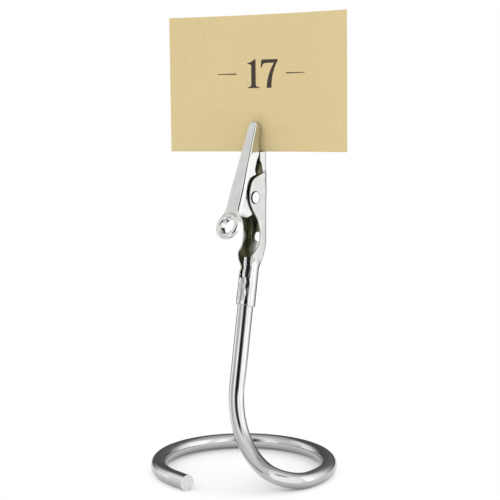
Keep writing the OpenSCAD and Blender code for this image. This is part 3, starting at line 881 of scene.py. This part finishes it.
def paintedShadeOnLever(face):
    # faces inside the lever's channel, which get painted shade
    p = leverTurn.inverted() @ face.center / mm
    inset = lever["shadeInset"]
    return (p.z >= -lever["flangeDrop"] and abs(p.x) < curveThrough(leverHalf, p.z) - inset
            and p.y > inset - lever["webD"])


leverJaw = loftHalves("leverJaw", leverRows)
cutRivetHole(leverJaw, lever["rivetD"])
boolean(leverJaw, fingerPad(), "UNION")
tiltPad(leverJaw.data)
leverJaw.data.transform(leverTurn)
tidyMesh(leverJaw.data, 0.001)
# the lever's inner faces get painted shade
markDullAndShade(leverJaw.data, paintedShadeOnLever)
finishPiece(leverJaw, "lever", "lever_jaw", leverNickel)


# rivet: a shank with two flattened domes, turned about the hinge axis

rivet = {
    "shankD": 2.0, "span": 6.35, "headD": 3.45, "headH": 0.5, "headFoot": 0.06, "undercut": 0.03,
    "flatD": 2.0, "dish": 0.05, "dishHalf": 0.035, "domeRows": 8, "sides": 64,
}


def rivetMesh():
    v = rivet
    head, seat, flat = v["headD"] / 2, v["span"] / 2, v["flatD"] / 2
    top, foot = seat + v["headH"], v["headFoot"]
    half = [(0.0, top - v["dish"]), (flat / 2, top - v["dishHalf"])]
    for a in steps(0, math.pi / 2, math.pi / 2 / v["domeRows"]):
        half.append((flat + (head - flat) * math.sin(a), seat + foot + (v["headH"] - foot) * math.cos(a)))
    half += [(head - v["undercut"], seat), (v["shankD"] / 2, seat)]
    profile = half + [(r, -x) for r, x in reversed(half)]
    return turnedMesh("pivotRivet", profile, v["sides"], lambda y, z, x: (x, y, z), closed=False)


pivotRivet = newObject("pivotRivet", rivetMesh())
pivotRivet.data.transform(Matrix.Translation(pivot))
finishPiece(pivotRivet, "stand", "pivot_rivet", rivetSteel)


# torsion spring: a leg on the spine, the coil round the rivet, and a leg on the lever's web

spring = {
    "wireD": 0.6, "coilD": 3.3, "pitch": 1.05, "turns": 2, "spineLeg": 9.0, "webLeg": 5.0, "gap": 0.08,
    "sides": 20, "halfTurnRows": 20, "spineRows": (0, 0.92, 0.1), "webRows": (0.12, 1, 0.12),
}


def springPath():
    v = spring
    r, inset = v["coilD"] / 2, sheet["thick"] + v["gap"] + v["wireD"] / 2
    lean = math.radians(lever["lean"])
    webSet = inset - lever["webD"]
    spineEnd = (jaw["spineD"] - inset, -v["spineLeg"])
    webEnd = (webSet * math.cos(lean) - v["webLeg"] * math.sin(lean),
              -v["webLeg"] * math.cos(lean) - webSet * math.sin(lean))

    def tangent(p, side):
        return math.atan2(p[1], p[0]) + side * math.acos(r / math.hypot(*p))

    start = tangent(spineEnd, 1)
    end = tangent(webEnd, -1) + 2 * math.pi * (v["turns"] + 1)
    width = v["pitch"] * (end - start) / (2 * math.pi)
    coil = [Vector((width * ((a - start) / (end - start) - 0.5), r * math.cos(a), r * math.sin(a)))
            for a in steps(start, end, math.pi / v["halfTurnRows"])]
    spineLeg, webLeg = Vector((-width / 2, *spineEnd)), Vector((width / 2, *webEnd))
    path = [spineLeg.lerp(coil[0], t) for t in steps(*v["spineRows"])] + coil
    path += [coil[-1].lerp(webLeg, t) for t in steps(*v["webRows"])]
    return path, width


springPoints, springWidth = springPath()
torsionSpring = sweepWire("torsionSpring", springPoints, [1.0] * len(springPoints), spring["wireD"] / 2,
                          spring["sides"], springSteel)
torsionSpring.data.transform(Matrix.Translation(pivot))
finishPiece(torsionSpring, None, "torsion_spring", springSteel)
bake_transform(torsionSpring)


# place card: a curled sheet with a printed table number

card = {
    "width": 52.5, "height": 36.25, "thick": 0.3, "curlR": 140.0, "twist": 13.4, "roll": 0.7, "shift": 0.3,
    "backY": 5.247, "seatH": 11.96, "cells": (70, 48), "inkLift": 0.012, "inkThick": 0.02,
    "edgeSoft": 0.06, "edgeSegments": 2, "edgeAngle": 60,
}


def cardPlace():
    c = card
    middle = pivotMm + Vector((0, c["backY"], c["seatH"] + c["height"] / 2))
    twist = Matrix.Rotation(math.radians(c["twist"]), 4, "Z")
    return Matrix.Translation(middle) @ twist @ Matrix.Rotation(math.radians(-c["roll"]), 4, "Y")


def onCard(u, v, lift):
    # point of the curled card: u along its width, v up, lift in front of its middle
    c = card
    a, r = (u + c["shift"]) / c["curlR"], c["curlR"] - lift
    return cardPlace() @ Vector((r * math.sin(a), r * math.cos(a) - c["curlR"], v))


def cardMesh():
    c = card
    across, up = c["cells"]
    half = c["thick"] / 2
    work = bmesh.new()
    grid = {}
    for side, lift in ((0, half), (1, -half)):
        for i in range(across + 1):
            for k in range(up + 1):
                u, v = c["width"] * (i / across - 0.5), c["height"] * (k / up - 0.5)
                grid[side, i, k] = work.verts.new(onCard(u, v, lift) * mm)
    cells = [(i, k) for i in range(across) for k in range(up)]
    quads = [[(s, i, k), (s, i + 1, k), (s, i + 1, k + 1), (s, i, k + 1)] for i, k in cells for s in (0, 1)]
    quads += [[(0, i, k), (0, i + 1, k), (1, i + 1, k), (1, i, k)] for i in range(across) for k in (0, up)]
    quads += [[(0, i, k), (0, i, k + 1), (1, i, k + 1), (1, i, k)] for k in range(up) for i in (0, across)]
    for quad in quads:
        work.faces.new([grid[corner] for corner in quad])
    bmesh.ops.recalc_face_normals(work, faces=work.faces)
    return meshFromWork("placeCard", work)


placeCard = newObject("placeCard", cardMesh())
soften = placeCard.modifiers.new("soften", "BEVEL")
soften.width = card["edgeSoft"] * mm
soften.segments = card["edgeSegments"]
soften.angle_limit = math.radians(card["edgeAngle"])
plainMesh(placeCard)
tidyMesh(placeCard.data, 0.001)
finishPiece(placeCard, "card", "place_card", cardPaper)

number = {
    "height": 7.6, "middle": (0.6, 2.6), "spread": 2.35, "strip": 0.4,
    "ruleLen": 5.6, "ruleThick": 0.32, "ruleGap": 7.4, "ruleTaper": 0.5,
}
# outlines in shares of the height: corners, and curves as (pull, end, count)
digitOne = [
    (-0.23, 0.0), (0.23, 0.0), (0.23, 0.03), ((0.085, 0.03), (0.085, 0.15), 8), (0.085, 1.0), (0.045, 1.0),
    ((-0.06, 0.91), (-0.23, 0.87), 8), (-0.23, 0.835), ((-0.085, 0.86), (-0.085, 0.74), 8), (-0.085, 0.15),
    ((-0.085, 0.03), (-0.23, 0.03), 8),
]
digitSeven = [
    (-0.3, 0.985), ((-0.33, 0.84), (-0.335, 0.7), 8), (-0.3, 0.7), ((-0.27, 0.865), (-0.1, 0.865), 8),
    (0.19, 0.865), ((-0.09, 0.45), (-0.105, 0.0), 12), (0.085, 0.0), ((0.07, 0.5), (0.33, 0.93), 12),
    (0.33, 0.985),
]


def digitOutline(strokes, shift):
    points = []
    for stroke in strokes:
        if len(stroke) == 2:
            points.append(stroke)
        else:
            start, (pull, end) = Vector(points[-1]), (Vector(p) for p in stroke[:2])
            points += [tuple(start.lerp(pull, t).lerp(pull.lerp(end, t), t))
                       for t in steps(0, 1, 1 / stroke[2])[1:]]
    (u0, v0), high = number["middle"], number["height"]
    return [(u0 + shift + high * x, v0 + high * (y - 0.5)) for x, y in points]


def ruleOutline(side):
    n = number
    u0, v0 = n["middle"]
    near, far = side * n["ruleGap"] + u0, side * (n["ruleGap"] + n["ruleLen"]) + u0
    thick = n["ruleThick"] / 2
    thin = thick * n["ruleTaper"]
    return [(near, v0 - thick), (far, v0 - thin), (far, v0 + thin), (near, v0 + thick)]


def printShape(outlines):
    # fills the outlines, cuts them in narrow strips, and lays them on the curled card
    work = bmesh.new()
    for outline in outlines:
        area = sum(a[0] * b[1] - b[0] * a[1] for a, b in zip(outline, outline[1:] + outline[:1]))
        ring = outline if area > 0 else outline[::-1]
        work.faces.new([work.verts.new((u, v, 0)) for u, v in ring])
    low, high = min(v.co.x for v in work.verts), max(v.co.x for v in work.verts)
    for u in steps(low, high, number["strip"])[1:-1]:
        everything = work.verts[:] + work.edges[:] + work.faces[:]
        bmesh.ops.bisect_plane(work, geom=everything, plane_co=(u, 0, 0), plane_no=(1, 0, 0))
    bmesh.ops.triangulate(work, faces=work.faces[:])
    skin = bmesh.ops.extrude_face_region(work, geom=work.faces[:])
    raised = {g for g in skin["geom"] if isinstance(g, bmesh.types.BMVert)}
    base = card["thick"] / 2 + card["inkLift"]
    for vert in work.verts:
        lift = base + (card["inkThick"] if vert in raised else 0.0)
        vert.co = onCard(vert.co.x, vert.co.y, lift) * mm
    bmesh.ops.recalc_face_normals(work, faces=work.faces)
    return meshFromWork("tableNumber", work)


tableNumber = newObject("tableNumber", printShape([
    digitOutline(digitOne, -number["spread"]), digitOutline(digitSeven, number["spread"]),
    ruleOutline(-1), ruleOutline(1)]))
finishPiece(tableNumber, "card", None, cardInk)


# stage: a white floor that fades into the backdrop, soft light, and flags that the plating reflects

stage = {
    "floorSize": 0.2, "seenFade": (0.021, 0.0275), "glossFade": (0.06, 0.1), "floorTone": 0.97,
    "ambient": 0.87, "lampTarget": (0, 0, 0.05),
    "keySize": 0.6, "keyPower": 2.0, "keyAt": (-0.2, 0.7, 0.45),
    "fillSize": 1.4, "fillPower": 2.2, "fillAt": (-0.5, -0.8, 0.8),
}
camera = {"at": (0.2186, -0.2579, 0.0985), "azimuth": 40.0, "pitch": 6.44, "lens": 91.73, "sensor": 36.0}
white = (1, 1, 1, 1)


def addGlow(tree, strength=1.0, colour=white):
    return addNode(tree, "ShaderNodeEmission", {"Color": colour, "Strength": strength}).outputs[0]


def seenRays(tree):
    # 1 for camera, glossy and transmission rays
    rays = addNode(tree, "ShaderNodeLightPath").outputs
    mirrored = addMath(tree, "MAXIMUM", rays["Is Camera Ray"], rays["Is Glossy Ray"])
    return addMath(tree, "MAXIMUM", mirrored, rays["Is Transmission Ray"])


def floorMaterial():
    # matt white with the object's shade, which turns to plain white away from the middle
    material = bpy.data.materials.new("floorWhite")
    tree, out = clearTree(material, "ShaderNodeOutputMaterial")
    tone = stage["floorTone"]
    matt = addNode(tree, "ShaderNodeBsdfDiffuse", {"Color": (tone, tone, tone, 1)})
    away = addLength(tree, addNode(tree, "ShaderNodeTexCoord").outputs["Object"])
    rays = addNode(tree, "ShaderNodeLightPath").outputs
    shares = []
    for ray, key in (("Is Camera Ray", "seenFade"), ("Is Glossy Ray", "glossFade")):
        fade = addRange(tree, away, 0.0, 1.0, *stage[key], interpolation_type="SMOOTHSTEP")
        shares.append(addMath(tree, "MULTIPLY", fade, rays[ray]))
    blend = addNode(tree, "ShaderNodeMixShader", {
        0: addMath(tree, "MAXIMUM", *shares), 1: matt.outputs[0], 2: addGlow(tree)})
    setInputs(tree, out, {0: blend.outputs[0]})
    return material


def addQuad(name, corners, material):
    mesh = bpy.data.meshes.new(name)
    mesh.from_pydata(corners, [], [(0, 1, 2, 3)])
    mesh.materials.append(material)
    return newObject(name, mesh)


def addFloor():
    half = stage["floorSize"] / 2
    corners = [(-half, -half, 0), (half, -half, 0), (half, half, 0), (-half, half, 0)]
    floor = addQuad("floor", corners, floorMaterial())


# reflected light by azimuth from the camera, to the right, in rows from below the table to overhead
# each row but the first takes over between two elevations
tent = {
    "radius": 0.45, "foot": -0.2, "bright": 2.0, "segments": (96, 48),
    "rows": [
        (None, [(-180, 0.9), (-60, 1.0), (0, 1.1), (60, 1.5), (110, 1.55), (140, 1.0), (180, 0.9)]),
        ((-14, -8), [
            (-180, 0.12), (-150, 0.09), (-141, 0.3), (-132, 0.65), (-122, 1.35), (-104, 1.7), (-93, 0.72),
            (-57, 0.6), (-51, 1.5), (-33, 2.0), (-28, 0.9), (-23, 0.12), (-19, 0.015), (11, 0.015),
            (17, 0.12), (25, 0.5), (32, 1.6), (37, 2.0), (43, 2.0), (48, 1.4), (57, 1.4), (63, 2.0),
            (78, 2.0), (92, 1.5), (98, 1.32), (108, 1.25), (120, 0.65), (134, 0.28), (150, 0.1), (180, 0.12),
        ]),
        ((4, 14), [
            (-180, 0.12), (-150, 0.11), (-138, 0.4), (-124, 1.1), (-106, 1.4), (-97, 0.96), (-58, 0.93),
            (-50, 1.3), (-38, 1.4), (-27, 0.7), (-19, 0.06), (-14, 0.03), (6, 0.03), (13, 0.3), (20, 1.1),
            (30, 1.7), (43, 1.7), (48, 1.3), (57, 1.3), (63, 1.8), (85, 1.8), (98, 1.5), (108, 1.4),
            (125, 0.7), (140, 0.3), (150, 0.14), (180, 0.12),
        ]),
        ((46, 58), [
            (-180, 0.62), (-110, 0.62), (-70, 1.0), (-35, 1.15), (35, 1.15), (70, 1.0), (110, 0.62),
            (180, 0.62),
        ]),
    ],
}
# a low white card in front of the ring, which only reflections see
bounce = {"at": (0.0245, -0.0134), "width": 0.022, "height": 0.01, "tone": 1.5}


def tentTones(tree, angle, stops):
    node = addNode(tree, "ShaderNodeValToRGB", {"Fac": angle})
    elements = node.color_ramp.elements
    while len(elements) < len(stops):
        elements.new(0.5)
    # all the places come first, because the stops are sorted as they move
    for element, (deg, tone) in zip(elements, stops):
        element.position = (deg + 180) / 360
    for element, (deg, tone) in zip(elements, stops):
        element.color = [tone / tent["bright"]] * 3 + [1]
    return node.outputs["Color"]


def tentMaterial():
    material = bpy.data.materials.new("lightTent")
    tree, out = clearTree(material, "ShaderNodeOutputMaterial")
    coords = addNode(tree, "ShaderNodeTexCoord")
    turned = addNode(tree, "ShaderNodeMapping", {
        "Vector": coords.outputs["Object"], "Rotation": (0, 0, math.radians(90 - camera["azimuth"]))})
    parts = addNode(tree, "ShaderNodeSeparateXYZ", {0: turned.outputs["Vector"]}).outputs
    azimuth = addMath(tree, "ARCTAN2", parts["Y"], parts["X"])
    height = addMath(tree, "ARCSINE", addMath(tree, "DIVIDE", parts["Z"], tent["radius"]))
    angle = addRange(tree, azimuth, 0.0, 1.0, -math.pi, math.pi)
    tones = tentTones(tree, angle, tent["rows"][0][1])
    for rise, stops in tent["rows"][1:]:
        share = addRange(tree, height, 0.0, 1.0, *map(math.radians, rise))
        tones = addBlend(tree, share, tones, tentTones(tree, angle, stops))
    setInputs(tree, out, {0: addGlow(tree, tent["bright"], tones)})
    return material


def onlyReflected(obj):
    obj.visible_camera = obj.visible_diffuse = obj.visible_shadow = obj.visible_transmission = False


def addTent():
    # dome that only reflections see
    across, up = tent["segments"]
    work = bmesh.new()
    bmesh.ops.create_uvsphere(work, u_segments=across, v_segments=up, radius=tent["radius"])
    bmesh.ops.delete(work, geom=[v for v in work.verts if v.co.z < tent["foot"]], context="VERTS")
    mesh = meshFromWork("lightTent", work)
    mesh.materials.append(tentMaterial())
    onlyReflected(newObject("lightTent", mesh))


def addBounce():
    turn = math.radians(camera["azimuth"])
    across = Vector((math.cos(turn), math.sin(turn), 0)) * bounce["width"] / 2
    foot, up = Vector((*bounce["at"], 0)), Vector((0, 0, bounce["height"]))
    material = bpy.data.materials.new("bounceWhite")
    tree, out = clearTree(material, "ShaderNodeOutputMaterial")
    setInputs(tree, out, {0: addGlow(tree, bounce["tone"])})
    corners = [foot - across, foot + across, foot + across + up, foot - across + up]
    onlyReflected(addQuad("bounceCard", corners, material))


def addLamp(name, size, power, at):
    data = bpy.data.lights.new(name, "AREA")
    data.shape, data.size, data.energy = "DISK", size, power
    lamp = newObject(name, data)
    lamp.location = at
    lamp.rotation_mode = "QUATERNION"
    lamp.rotation_quaternion = (Vector(stage["lampTarget"]) - Vector(at)).to_track_quat("-Z", "Y")


def setWorld():
    world = bpy.data.worlds.new("studio")
    tree, out = clearTree(world, "ShaderNodeOutputWorld")
    soft, seen = (addNode(tree, "ShaderNodeBackground", {"Color": white, "Strength": strength})
                  for strength in (stage["ambient"], 1.0))
    blend = addNode(tree, "ShaderNodeMixShader", {0: seenRays(tree), 1: soft.outputs[0], 2: seen.outputs[0]})
    setInputs(tree, out, {0: blend.outputs[0]})
    bpy.context.scene.world = world


addFloor()
setWorld()
addLamp("keyLamp", stage["keySize"], stage["keyPower"], stage["keyAt"])
addLamp("fillLamp", stage["fillSize"], stage["fillPower"], stage["fillAt"])
addTent()
addBounce()

cameraData = bpy.data.cameras.new("photoCamera")
cameraData.lens, cameraData.sensor_width = camera["lens"], camera["sensor"]
photoCamera = newObject("photoCamera", cameraData)
photoCamera.location = camera["at"]
photoCamera.rotation_euler = (math.radians(90 - camera["pitch"]), 0, math.radians(camera["azimuth"]))
bpy.context.scene.camera = photoCamera
bpy.context.scene.view_settings.view_transform = "Standard"
print("stage set")
